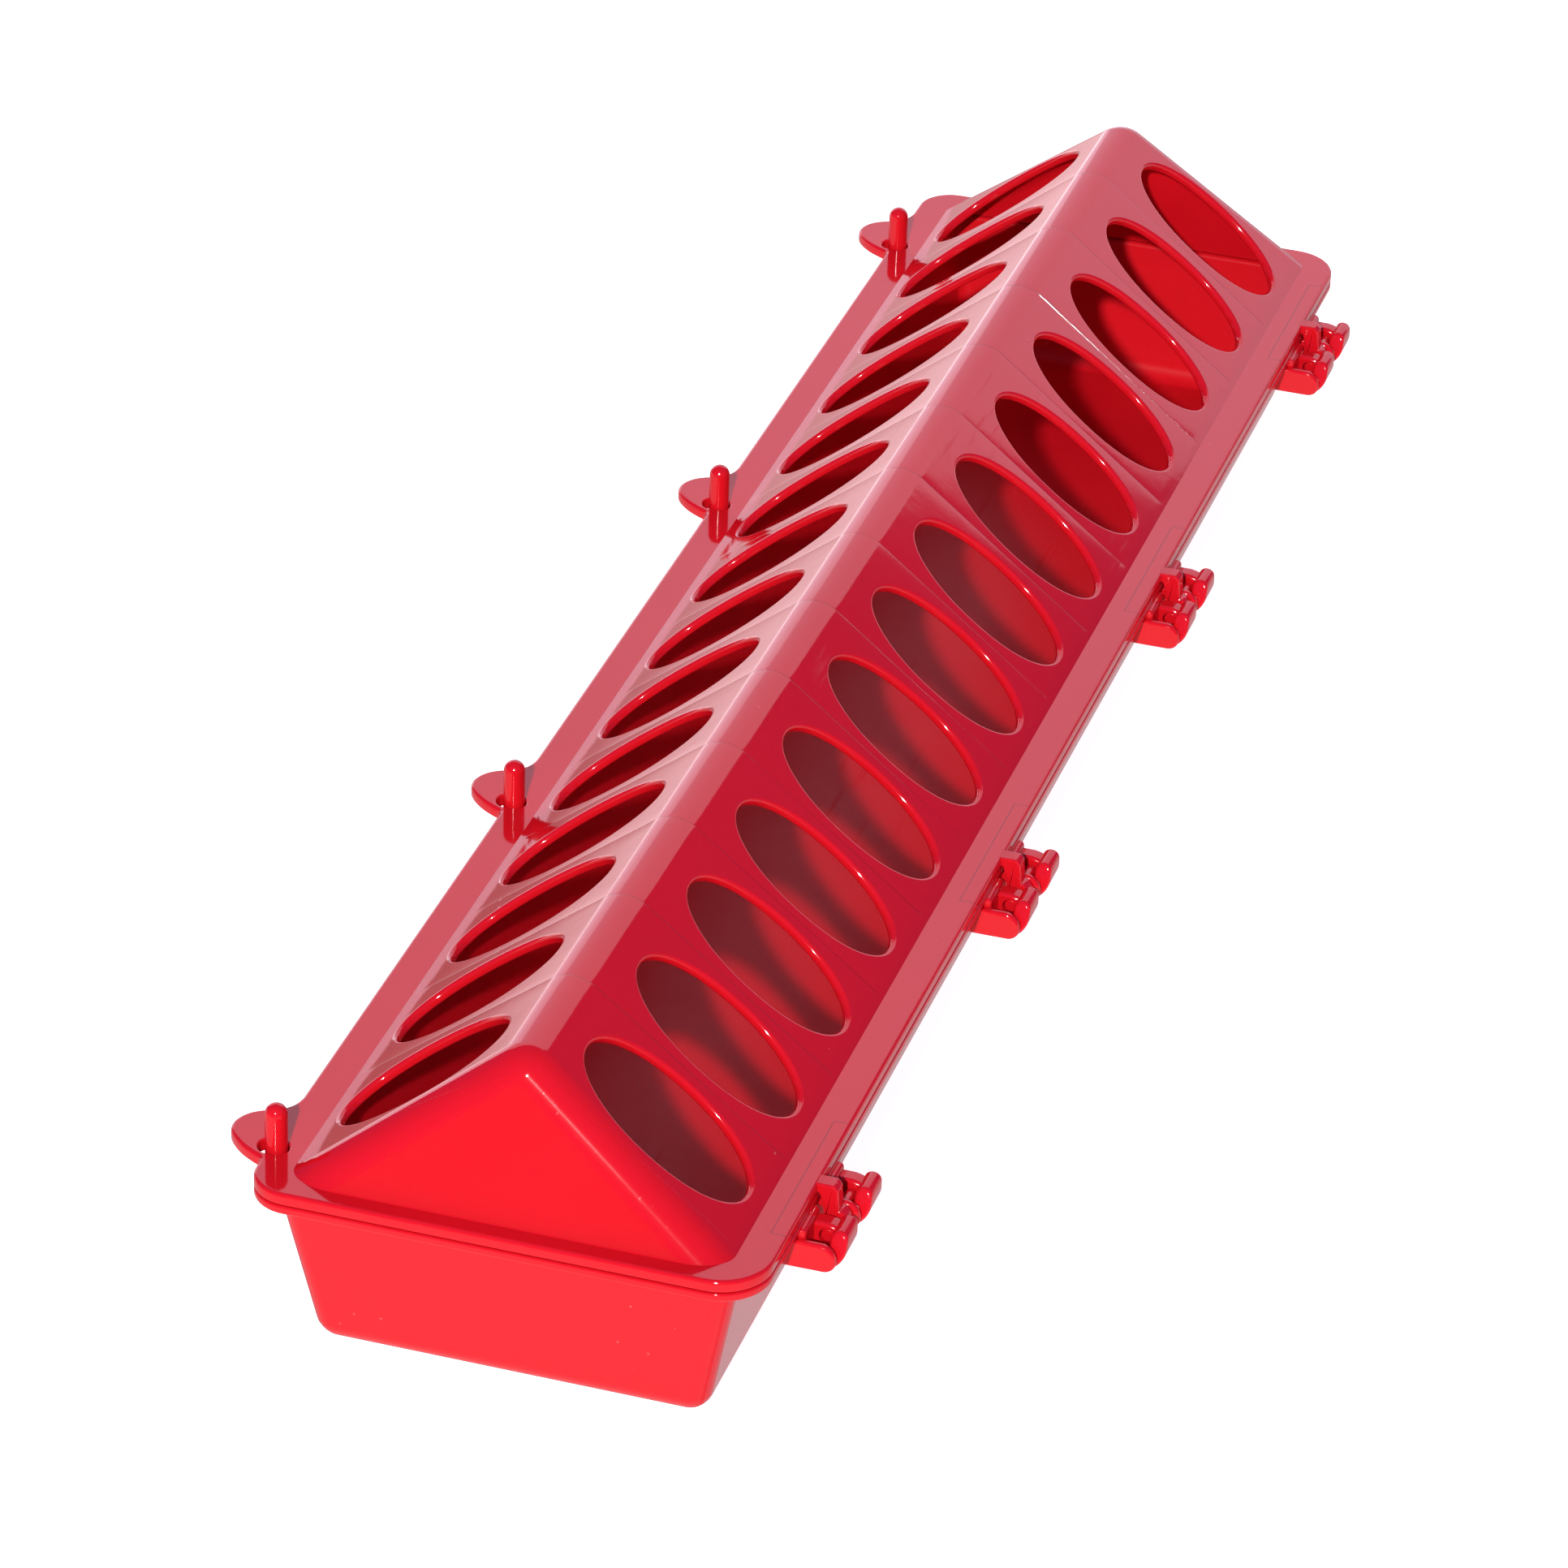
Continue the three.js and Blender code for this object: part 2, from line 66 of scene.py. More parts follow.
LUG_SHIFT, LUG_HALF, LUG_BOSS_R = -1.55, 1.95, 2.9

SLOPE = math.atan2(RISE, EAVE_X)


# ------------------------------------------------------------------ mesh helpers
def polygon_offset(points, d):
    """A closed outline moved inwards by d. The outline runs counter-clockwise."""
    p = np.asarray(points, float)
    before, after = p - np.roll(p, 1, 0), np.roll(p, -1, 0) - p
    before /= np.linalg.norm(before, axis=1)[:, None]
    after /= np.linalg.norm(after, axis=1)[:, None]
    n0 = np.c_[before[:, 1], -before[:, 0]]
    n1 = np.c_[after[:, 1], -after[:, 0]]
    m = n0 + n1
    length = np.linalg.norm(m, axis=1)
    m /= length[:, None]
    miter = 1 / np.maximum(length / 2, 0.5)
    return p - m * (miter * d)[:, None]


def ccw(points):
    p = np.asarray(points, float)
    q = np.roll(p, -1, 0)
    return p if (p[:, 0] * q[:, 1] - q[:, 0] * p[:, 1]).sum() > 0 else p[::-1]


def mesh_object(name, verts, faces):
    me = bpy.data.meshes.new(name)
    me.from_pydata([tuple(map(float, v)) for v in verts], [], [tuple(map(int, f)) for f in faces])
    me.update()
    bm = bmesh.new()
    bm.from_mesh(me)
    bmesh.ops.recalc_face_normals(bm, faces=bm.faces)
    if bm.calc_volume(signed=True) < 0:
        bmesh.ops.reverse_faces(bm, faces=bm.faces)
    bm.to_mesh(me)
    bm.free()
    ob = bpy.data.objects.new(name, me)
    SCENE.collection.objects.link(ob)
    return ob


def loft(name, rings):
    """A closed solid through rings of equal point count, capped at both ends."""
    n = len(rings[0])
    verts = np.concatenate([np.asarray(r, float) for r in rings])
    faces = []
    for k in range(len(rings) - 1):
        a, b = k * n, (k + 1) * n
        for i in range(n):
            j = (i + 1) % n
            faces.append((a + i, a + j, b + j, b + i))
    faces.append(tuple(range(n))[::-1])
    last = (len(rings) - 1) * n
    faces.append(tuple(range(last, last + n)))
    return mesh_object(name, verts, faces)


def arc(cx, cy, r, a0, a1, n):
    return [
        (cx + r * math.cos(math.radians(a0 + (a1 - a0) * i / n)), cy + r * math.sin(math.radians(a0 + (a1 - a0) * i / n)))
        for i in range(n + 1)
    ]


def rounded_rect(hx, hy, r_left, r_right, n=10, along=12):
    """Counter-clockwise rounded rectangle with its sides subdivided."""
    rl, rr = r_left, r_right
    corners = [(hx - rr, hy - rr, rr, 0), (-(hx - rl), hy - rl, rl, 90), (-(hx - rl), -(hy - rl), rl, 180), (hx - rr, -(hy - rr), rr, 270)]
    pts = []
    for k, (cx, cy, r, a0) in enumerate(corners):
        pts += arc(cx, cy, r, a0, a0 + 90, n)
        nx, ny, nr, na = corners[(k + 1) % 4]
        end = pts[-1]
        start = (nx + nr * math.cos(math.radians(na)), ny + nr * math.sin(math.radians(na)))
        m = along if k in (1, 3) else 4
        pts += [(end[0] + (start[0] - end[0]) * i / m, end[1] + (start[1] - end[1]) * i / m) for i in range(1, m)]
    return pts


def at_z(outline, z):
    return [(x, y, z) for x, y in outline]


def boolean(a, b, operation):
    """Joins or cuts a with b, and removes b."""
    modifier = a.modifiers.new("b", "BOOLEAN")
    modifier.operation = operation
    modifier.solver = "MANIFOLD"
    modifier.object = b
    evaluated = a.evaluated_get(bpy.context.evaluated_depsgraph_get())
    me = bpy.data.meshes.new_from_object(evaluated)
    if len(me.polygons) < 8:
        raise RuntimeError("the boolean of " + a.name + " with " + b.name + " came out empty")
    a.modifiers.clear()
    a.data = me
    bpy.data.objects.remove(b)
    return a


def join(name, objects):
    """One mesh object out of several that don't touch."""
    verts, faces = [], []
    for o in objects:
        base = len(verts)
        verts += [v.co[:] for v in o.data.vertices]
        faces += [[base + i for i in p.vertices] for p in o.data.polygons]
        bpy.data.objects.remove(o)
    me = bpy.data.meshes.new(name)
    me.from_pydata(verts, [], faces)
    ob = bpy.data.objects.new(name, me)
    SCENE.collection.objects.link(ob)
    return ob


def prism_y(name, profile, y0, y1, r=0.3, n=4, set_back=None):
    """An outline in X and Z run along Y, with its end edges rounded by r. The near end may be set back by a function of X and Z."""
    p = ccw(profile)
    back_off = set_back or (lambda x, z: 0.0)
    rings = []
    for i in range(n + 1):
        a = math.pi / 2 * i / n
        o = polygon_offset(p, r * (1 - math.sin(a)))
        rings.append([(x, y0 + r * (1 - math.cos(a)) + back_off(x, z), z) for x, z in o])
    for i in range(n + 1):
        a = math.pi / 2 * (1 - i / n)
        o = polygon_offset(p, r * (1 - math.sin(a)))
        rings.append([(x, y1 - r * (1 - math.cos(a)), z) for x, z in o])
    return loft(name, rings)


def soften(profile, r, n=5):
    """Rounds the corners of an outline by r, less where its edges are short. An entry may carry its own radius as a third number."""
    out = []
    count = len(profile)
    for i in range(count):
        a, b, c = profile[i - 1], profile[i], profile[(i + 1) % count]
        p, q, s = np.array(a[:2], float), np.array(b[:2], float), np.array(c[:2], float)
        rad = b[2] if len(b) > 2 else r
        u, v = p - q, s - q
        lu, lv = np.linalg.norm(u), np.linalg.norm(v)
        u, v = u / lu, v / lv
        angle = math.acos(max(-1, min(1, float(u @ v))))
        if rad <= 0 or angle > math.radians(176):
            out.append(tuple(q))
            continue
        t = min(rad / math.tan(angle / 2), 0.45 * lu, 0.45 * lv)
        rr = t * math.tan(angle / 2)
        centre = q + (u + v) / np.linalg.norm(u + v) * rr / math.sin(angle / 2)
        a0, a1 = q + u * t - centre, q + v * t - centre
        w = math.acos(max(-1, min(1, float(a0 @ a1) / rr / rr)))
        m = max(2, int(round(n * w / (math.pi / 2))))
        for k in range(m + 1):
            f = k / m
            out.append(tuple(centre + (math.sin((1 - f) * w) * a0 + math.sin(f * w) * a1) / math.sin(w)))
    return out


def shade(ob, limit=36.0):
    """Smooth normals in which large flat faces keep their own direction right up to the rounded edges beside them."""
    me = ob.data
    nl, npoly, ne = len(me.loops), len(me.polygons), len(me.edges)
    lv = np.zeros(nl, np.int64); me.loops.foreach_get("vertex_index", lv)
    le = np.zeros(nl, np.int64); me.loops.foreach_get("edge_index", le)
    start = np.zeros(npoly, np.int64); me.polygons.foreach_get("loop_start", start)
    total = np.zeros(npoly, np.int64); me.polygons.foreach_get("loop_total", total)
    pn = np.zeros(npoly * 3); me.polygons.foreach_get("normal", pn); pn = pn.reshape(-1, 3)
    area = np.zeros(npoly); me.polygons.foreach_get("area", area)
    lp = np.repeat(np.arange(npoly), total)
    nxt = np.arange(nl) + 1
    nxt[start + total - 1] = start
    order = np.argsort(le, kind="stable")
    counts = np.bincount(le, minlength=ne)
    first = np.concatenate([[0], np.cumsum(counts)[:-1]])
    ok = np.nonzero(counts == 2)[0]
    la, lb = order[first[ok]], order[first[ok] + 1]
    dots = (pn[lp[la]] * pn[lp[lb]]).sum(1)

    def find(parent, i):
        while parent[i] != i:
            parent[i] = parent[parent[i]]
            i = parent[i]
        return i

    region = list(range(npoly))
    flat = dots > math.cos(math.radians(0.35))
    for a, b in zip(lp[la[flat]].tolist(), lp[lb[flat]].tolist()):
        ra, rb = find(region, a), find(region, b)
        if ra != rb:
            region[rb] = ra
    region = np.array([find(region, i) for i in range(npoly)])
    region_area = np.bincount(region, weights=area, minlength=npoly)
    region_normal = np.zeros((npoly, 3))
    np.add.at(region_normal, region, pn * area[:, None])
    length = np.linalg.norm(region_normal, axis=1)
    region_normal[length > 0] /= length[length > 0][:, None]

    corner = list(range(nl))
    smooth = dots > math.cos(math.radians(limit))
    for a, b in zip(la[smooth].tolist(), lb[smooth].tolist()):
        if lv[a] == lv[b]:
            pairs = ((a, b), (int(nxt[a]), int(nxt[b])))
        else:
            pairs = ((a, int(nxt[b])), (int(nxt[a]), b))
        for i, j in pairs:
            ri, rj = find(corner, i), find(corner, j)
            if ri != rj:
                corner[rj] = ri
    group = np.array([find(corner, i) for i in range(nl)])
    key = np.unique(np.c_[group, region[lp]], axis=0)
    weight = region_area[key[:, 1]] ** 1.6 + 1e-9
    summed = np.zeros((nl, 3))
    np.add.at(summed, key[:, 0], region_normal[key[:, 1]] * weight[:, None])
    length = np.linalg.norm(summed, axis=1)
    summed[length > 0] /= length[length > 0][:, None]
    me.polygons.foreach_set("use_smooth", np.ones(npoly, bool))
    me.normals_split_custom_set(summed[group].tolist())
    me.update()


def finish_mesh(ob, name):
    """Cleans the joined mesh, gives it its normals and takes it from millimetres to metres."""
    bm = bmesh.new()
    bm.from_mesh(ob.data)
    bmesh.ops.remove_doubles(bm, verts=bm.verts, dist=2e-4)
    bmesh.ops.dissolve_degenerate(bm, edges=bm.edges, dist=2e-4)
    bm.to_mesh(ob.data)
    bm.free()
    ob.data.transform(Matrix.Scale(0.001, 4))
    ob.data.materials.clear()
    ob.data.polygons.foreach_set("material_index", np.zeros(len(ob.data.polygons), np.int32))
    ob.data.update()
    shade(ob)
    ob.name = name
    ob.data.name = name
    return ob


# -------------------------------------------------------------------------- tray
def tray_levels(inset, floor, n=8):
    r = FOOT_R - inset * 0.5
    sx, sy = (TOP_X - BASE_X) / RIM_BOTTOM, (TOP_Y - BASE_Y) / RIM_BOTTOM

    def level(z, back):
        c = max(TRAY_CORNER - inset * 0.6 - back, 1.5)
        return at_z(rounded_rect(BASE_X + sx * z - inset - back, BASE_Y + sy * z - inset - back, c, c, n=7), z)

    rings = []
    for i in range(n + 1):
        a = math.pi / 2 * i / n
        rings.append(level(floor + r * (1 - math.cos(a)), r * (1 - math.sin(a))))
    return rings, level


def rim_outline():
    """Rim in plan, swelling out round the root of each peg."""
    pts = rounded_rect(HALF_WIDTH, HALF_LENGTH, CORNER_LEFT, CORNER_RIGHT, n=12, along=2)
    swell = math.degrees(math.acos((-HALF_WIDTH - PEG_X) / BOSS_R))
    left = [i for i, (x, y) in enumerate(pts) if abs(x + HALF_WIDTH) < 1e-6 and abs(y) < HALF_LENGTH - CORNER_LEFT + 1e-6]
    out = []
    for i, p in enumerate(pts):
        if i in left[1:-1]:
            continue
        out.append(p)
        if i == left[0]:
            for y in sorted(PEG_Y, reverse=True):
                start, end = (-HALF_WIDTH, y + BOSS_R * math.sin(math.radians(swell))), (-HALF_WIDTH, y - BOSS_R * math.sin(math.radians(swell)))
                out.append((start[0], start[1] + 1.3))
                out += arc(PEG_X, y, BOSS_R, swell + 12, 348 - swell, 14)
                out.append((end[0], end[1] - 1.3))
    return out


def rounded_plate(name, outline, z0, z1, r_low, r_high, n=5):
    rings = []
    for i in range(n + 1):
        a = math.pi / 2 * i / n
        rings.append(at_z(polygon_offset(outline, r_low * (1 - math.sin(a))), z0 + r_low * (1 - math.cos(a))))
    for i in range(n + 1):
        a = math.pi / 2 * (1 - i / n)
        rings.append(at_z(polygon_offset(outline, r_high * (1 - math.sin(a))), z1 - r_high * (1 - math.cos(a))))
    return loft(name, rings)


def make_tray():
    rings, level = tray_levels(0, 0)
    rings.append(level(RIM_BOTTOM - 0.9, 0))
    for i in range(1, 6):
        a = math.pi / 2 * i / 6
        rings.append(level(RIM_BOTTOM - 0.9 + 0.9 * math.sin(a), -0.9 * (1 - math.cos(a))))
    rings.append(level(RIM_BOTTOM + 0.5, -1.1))
    tray = loft("tray", rings)
    boolean(tray, rounded_plate("rim", rim_outline(), RIM_BOTTOM, RIM_TOP, 0.8, 0.5), "UNION")

    for y in PEG_Y:
        profile = [(PEG_R + 0.0, RIM_BOTTOM + 0.7), (PEG_R + 0.0, RIM_TOP)]
        dome = PEG_R
        profile += [(dome * math.cos(math.radians(a)), PEG_TOP - dome + dome * math.sin(math.radians(a))) for a in (0, 12, 24, 36, 48, 60, 72, 82)]
        n = 40
        peg_rings = [
            [(PEG_X + r * math.cos(2 * math.pi * i / n), y + r * math.sin(2 * math.pi * i / n), z) for i in range(n)]
            for r, z in profile
        ]
        boolean(tray, loft("peg", peg_rings), "UNION")

    # Hinge cradles: two cups at each hinge, the ends beside the lug bored for its pin.
    start, low, ox, ix, top = 48.3, CRADLE_BOTTOM, OUTER_OUT, OUTER_IN, OUTER_TOP
    cup = (
        [(CUP_X, RIM_BOTTOM + 0.5)]
        + arc(CUP_X + 1.5, low + 1.5, 1.5, 180, 270, 6)
        + arc(ox - 4.6, low + 4.6, 4.6, -90, 0, 16)
        + arc(ox - 1.85, top - 1.85, 1.85, 0, 90, 10)
        + arc(ix + 1.85, top - 1.85, 1.85, 90, 180, 10)
        + arc(ix - 1.4, CRADLE_FLOOR + 1.4, 1.4, 0, -90, 7)
        + arc(CUP_IN + 0.8, CRADLE_FLOOR + 0.8, 0.8, 270, 180, 5)
        + arc(CUP_IN - 1.1, CUP_TOP - 1.1, 1.1, 0, 90, 7)
        + [(HALF_WIDTH - 1, CUP_TOP)]
    )
    near_end = (
        [(start, low - 0.02)]
        + arc(61.6, low - 0.02 + 2.8, 2.8, -90, 0, 10)
        + arc(60.6, NEAR_TOP - 3.8, 3.8, 0, 90, 14)
        + [(HALF_WIDTH - 0.9, NEAR_TOP), (HALF_WIDTH - 0.9, RIM_BOTTOM + 0.4), (start, RIM_BOTTOM + 0.4)]
    )
    far_end = [
        (start, low + 0.3), (ix + 0.9, low + 0.3), (ix + 0.9, FAR_TOP - 0.95), (ix + 0.1, FAR_TOP - 0.55), (61.1, FAR_TOP - 0.22), (60.0, FAR_TOP), (HALF_WIDTH - 0.9, FAR_TOP),
        (HALF_WIDTH - 0.9, RIM_BOTTOM + 0.4), (start, RIM_BOTTOM + 0.4),
    ]

    def lean_back(x, z):
        """The outer wall's near end leans away going up; the rest of the cup stays square."""
        return max(0.0, min(1.0, (x - 59.5) / 2.0)) * max(0.0, z - low - 0.7) * (SET_BACK - NEAR_THICK + 0.5) / (top - low - 0.7)

    for hinge in HINGE_Y:
        for first in CRADLE_START:
            y = hinge + first
            cradle = prism_y("cradle", cup, y + NEAR_THICK - 0.5, y + CRADLE_LENGTH, 0.75, 6, lean_back)
            near = prism_y("near_end", near_end, y, y + NEAR_THICK, 0.85, 6)
            far = prism_y("far_end", far_end, y + CRADLE_LENGTH - FAR_THICK, y + CRADLE_LENGTH + 0.03, 0.95, 7)
            bored, middle = (far, y + CRADLE_LENGTH - FAR_THICK / 2) if first < 0 else (near, y + NEAR_THICK / 2)
            boolean(bored, prism_y("bore", arc(PIVOT_X, PIVOT_Z, PIN_R + PIN_PLAY, 0, 352.5, 47), middle - 4, middle + 4, 0.2), "DIFFERENCE")
            boolean(cradle, near, "UNION")
            boolean(cradle, far, "UNION")
            boolean(tray, cradle, "UNION")

    rings, level = tray_levels(WALL, FLOOR)
    rings.append(level(RIM_TOP - 1.0, 0))
    for i in range(1, 6):
        a = math.pi / 2 * i / 6
        rings.append(level(RIM_TOP - 1.0 + 1.0 * math.sin(a), -1.0 * (1 - math.cos(a))))
    rings.append(level(RIM_TOP + 0.35, -3.2))
    boolean(tray, loft("cavity", rings), "DIFFERENCE")
    return finish_mesh(tray, "tray_moulding")


# --------------------------------------------------------------------------- lid
def lid_outline():
    """Flange in plan with its finger tabs."""
    pts = rounded_rect(HALF_WIDTH, HALF_LENGTH, CORNER_LEFT, CORNER_RIGHT, n=12, along=2)
    left = [i for i, (x, y) in enumerate(pts) if abs(x + HALF_WIDTH) < 1e-6 and abs(y) < HALF_LENGTH - CORNER_LEFT + 1e-6]
    control = [(-HALF_WIDTH, 24.5), (-HALF_WIDTH, 20.4)] + TAB + [(-57.5, -4.1)]
    curve = []
    for i in range(1, len(control) - 1):
        p0, p1, p2 = (np.array(control[k], float) for k in (i - 1, i, i + 1))
        p3 = np.array(control[min(i + 2, len(control) - 1)], float)
        for k in range(5):
            t = k / 5
            curve.append(tuple(0.5 * (2 * p1 + (p2 - p0) * t + (2 * p0 - 5 * p1 + 4 * p2 - p3) * t * t + (3 * p1 - p0 - 3 * p2 + p3) * t ** 3)))
    curve.append(control[-1])
    out = []
    for i, p in enumerate(pts):
        if i in left[1:-1]:
            continue
        out.append(p)
        if i == left[0]:
            for y in sorted(PEG_Y, reverse=True):
                limit = HALF_LENGTH - CORNER_LEFT - 0.2
                tab = [(x, y + dy) for x, dy in curve]
                tab += [(-56.75, y - 4.55), (-HALF_WIDTH, y - 5.3)]
                out += [(x, max(-limit, min(limit, v))) for x, v in tab if v < limit]
    return out


def roof(name, inset, n=12):
    """Gable roof with leaning ends, its faces moved in by inset and its ridge and end edges rounded."""
    lean = math.atan(LEAN)
    ball = EDGE_R - inset
    right, left = Vector((math.sin(SLOPE), 0, math.cos(SLOPE))), Vector((-math.sin(SLOPE), 0, math.cos(SLOPE)))
    low = FLANGE_TOP - 26

    def cx(z):
        return EAVE_X - EDGE_R / math.sin(SLOPE) - (z - FLANGE_TOP) / math.tan(SLOPE)

    def cy(z):
        return GABLE_Y - EDGE_R / math.cos(lean) - (z - FLANGE_TOP) * LEAN

    apex_z = FLANGE_TOP + (EAVE_X - EDGE_R / math.sin(SLOPE)) * math.tan(SLOPE)
    bm = bmesh.new()

    def arc_between(a, b, m):
        w = a.angle(b)
        return [a * (math.sin((1 - k / m) * w) / math.sin(w)) + b * (math.sin(k / m * w) / math.sin(w)) for k in range(m + 1)]

    for s in (-1, 1):
        gable = Vector((0, s * math.cos(lean), math.sin(lean)))
        apex = Vector((0, s * cy(apex_z), apex_z))
        directions = arc_between(left, right, n)
        for k in range(1, n + 1):
            f = k / n
            a, b = left.lerp(gable, f).normalized(), right.lerp(gable, f).normalized()
            if (a - b).length < 1e-6:
                directions.append(a)
            else:
                directions += arc_between(a, b, max(1, n - k))
        directions += arc_between(left, gable, n) + arc_between(right, gable, n)
        for d in directions:
            bm.verts.new(apex + d * ball)
        for t, flank in ((-1, left), (1, right)):
            base = Vector((t * cx(low), s * cy(low), low))
            for d in arc_between(flank, gable, n):
                bm.verts.new(base + d * ball)
    bmesh.ops.remove_doubles(bm, verts=bm.verts, dist=1e-4)
    hull = bmesh.ops.convex_hull(bm, input=bm.verts, use_existing_faces=False)
    inside = list({v for v in hull["geom_interior"] + hull["geom_unused"] if isinstance(v, bmesh.types.BMVert)})
    bmesh.ops.delete(bm, geom=inside, context="VERTS")
    cut = FLANGE_TOP - WALL - 0.0 if inset == 0 else FLANGE_TOP - 12
    bmesh.ops.bisect_plane(bm, geom=bm.verts[:] + bm.edges[:] + bm.faces[:], plane_co=(0, 0, cut), plane_no=(0, 0, -1), clear_outer=True)
    rim = [e for e in bm.edges if e.is_boundary]
    bmesh.ops.contextual_create(bm, geom=rim)
    bmesh.ops.recalc_face_normals(bm, faces=bm.faces)
    me = bpy.data.meshes.new(name)
    bm.to_mesh(me)
    bm.free()
    ob = bpy.data.objects.new(name, me)
    SCENE.collection.objects.link(ob)
    return ob


def hole_outline(n=84):
    """Oval with points spread evenly along it."""
    t = np.linspace(0, 2 * math.pi, 4001)
    c, s = np.cos(t), np.sin(t)
    x = HOLE_LONG * np.sign(c) * np.abs(c) ** (2 / HOLE_POWER)
    y = HOLE_WIDE * np.sign(s) * np.abs(s) ** (2 / HOLE_POWER)
    run = np.concatenate([[0], np.cumsum(np.hypot(np.diff(x), np.diff(y)))])
    at = np.linspace(0, run[-1], n + 1)[:-1]
    return np.c_[np.interp(at, run, x), np.interp(at, run, y)]


def hole_cutters(side):
    outline = ccw(hole_outline())
    r, lower = 1.0, 0.45
    levels = [(-WALL - 1.2, lower + 1.6), (-WALL, lower), (-WALL + 0.13, lower * 0.4), (-WALL + lower, 0.0)]
    for a in (0, 15, 30, 45, 60, 73):
        levels.append((-r + r * math.sin(math.radians(a)), r * (1 - math.cos(math.radians(a)))))
    end = levels[-1]
    grow = (r - end[1]) / (0 - end[0])
    levels.append((0.22, r + 0.22 * grow))
    u = np.array((-side * math.cos(SLOPE), 0, math.sin(SLOPE)))
    v = np.array((0, 1.0, 0))
    w = np.array((side * math.sin(SLOPE), 0, math.cos(SLOPE)))
    made = []
    for i in range(HOLES):
        centre = np.array((side * (EAVE_X - UP_SLOPE * math.cos(SLOPE)), (i - (HOLES - 1) / 2) * PITCH, FLANGE_TOP + UP_SLOPE * math.sin(SLOPE)))
        rings = []
        for depth, out in levels:
            o = polygon_offset(outline, -out)
            rings.append([centre + a * u + b * v + depth * w for a, b in o])
        made.append(loft("cut", rings))
    return join("cutters", made)


def make_lid():
    lid = rounded_plate("lid", lid_outline(), LIP_BOTTOM, FLANGE_TOP, 0.5, 0.9)
    boolean(lid, roof("roof", 0), "UNION")
    # Hollow under the flange, inside the lip.
    under = rounded_rect(HALF_WIDTH - LIP_WALL, HALF_LENGTH - LIP_WALL, CORNER_LEFT - LIP_WALL, CORNER_RIGHT - LIP_WALL, n=8)
    boolean(lid, loft("under", [at_z(under, LIP_BOTTOM - 6), at_z(under, FLANGE_TOP - WALL)]), "DIFFERENCE")
    boolean(lid, roof("inside", WALL), "DIFFERENCE")
    for side in (-1, 1):
        boolean(lid, hole_cutters(side), "DIFFERENCE")
    for y in PEG_Y:
        slot = arc(PEG_X, y, PEG_HOLE_R, -90, 90, 16) + arc(PEG_X - PEG_SLOT, y, PEG_HOLE_R, 90, 270, 16)
        slot = ccw(slot)
        r = 0.5
        rings = [at_z(slot, LIP_BOTTOM - 3), at_z(slot, FLANGE_TOP - r)]
        for a in (18, 36, 54, 70):
            rings.append(at_z(polygon_offset(slot, -r * (1 - math.cos(math.radians(a)))), FLANGE_TOP - r + r * math.sin(math.radians(a))))
        rings.append(at_z(polygon_offset(slot, -r - 0.5), FLANGE_TOP + 0.12))
        boolean(lid, loft("slot", rings), "DIFFERENCE")
    for hinge in HINGE_Y:
        y = hinge + LUG_SHIFT
        body = soften(
            [
                (HALF_WIDTH - 1.3, LIP_BOTTOM + 0.5, 0), (HALF_WIDTH + 0.3, LIP_BOTTOM + 0.5, 0.5), (HALF_WIDTH + 1.5, PIVOT_Z + 2.3, 1.0),
                (PIVOT_X - LUG_BOSS_R + 0.3, PIVOT_Z, 0.3), (PIVOT_X + 0.4, PIVOT_Z, 0.2), (PIVOT_X + 0.9, PIVOT_Z + 2.0, 0.5),
                (PIVOT_X + 0.45, FLANGE_TOP - 1.2, 0.5), (PIVOT_X - 0.5, FLANGE_TOP - 0.05, 0.5), (HALF_WIDTH - 1.3, FLANGE_TOP - 0.05, 0),
            ],
            0.3, 6,
        )
        lug = prism_y("lug", body, y - LUG_HALF, y + LUG_HALF, 0.5, 5)
        boolean(lug, prism_y("boss", arc(PIVOT_X, PIVOT_Z, LUG_BOSS_R, 0, 352.5, 47), y - LUG_HALF + 0.06, y + LUG_HALF - 0.06, 0.4), "UNION")
        boolean(lug, prism_y("pin", arc(PIVOT_X, PIVOT_Z, PIN_R, 0, 351, 39), hinge + PIN_NEAR, hinge + PIN_FAR, 0.35), "UNION")
        boolean(lid, lug, "UNION")
    return finish_mesh(lid, "lid_moulding")


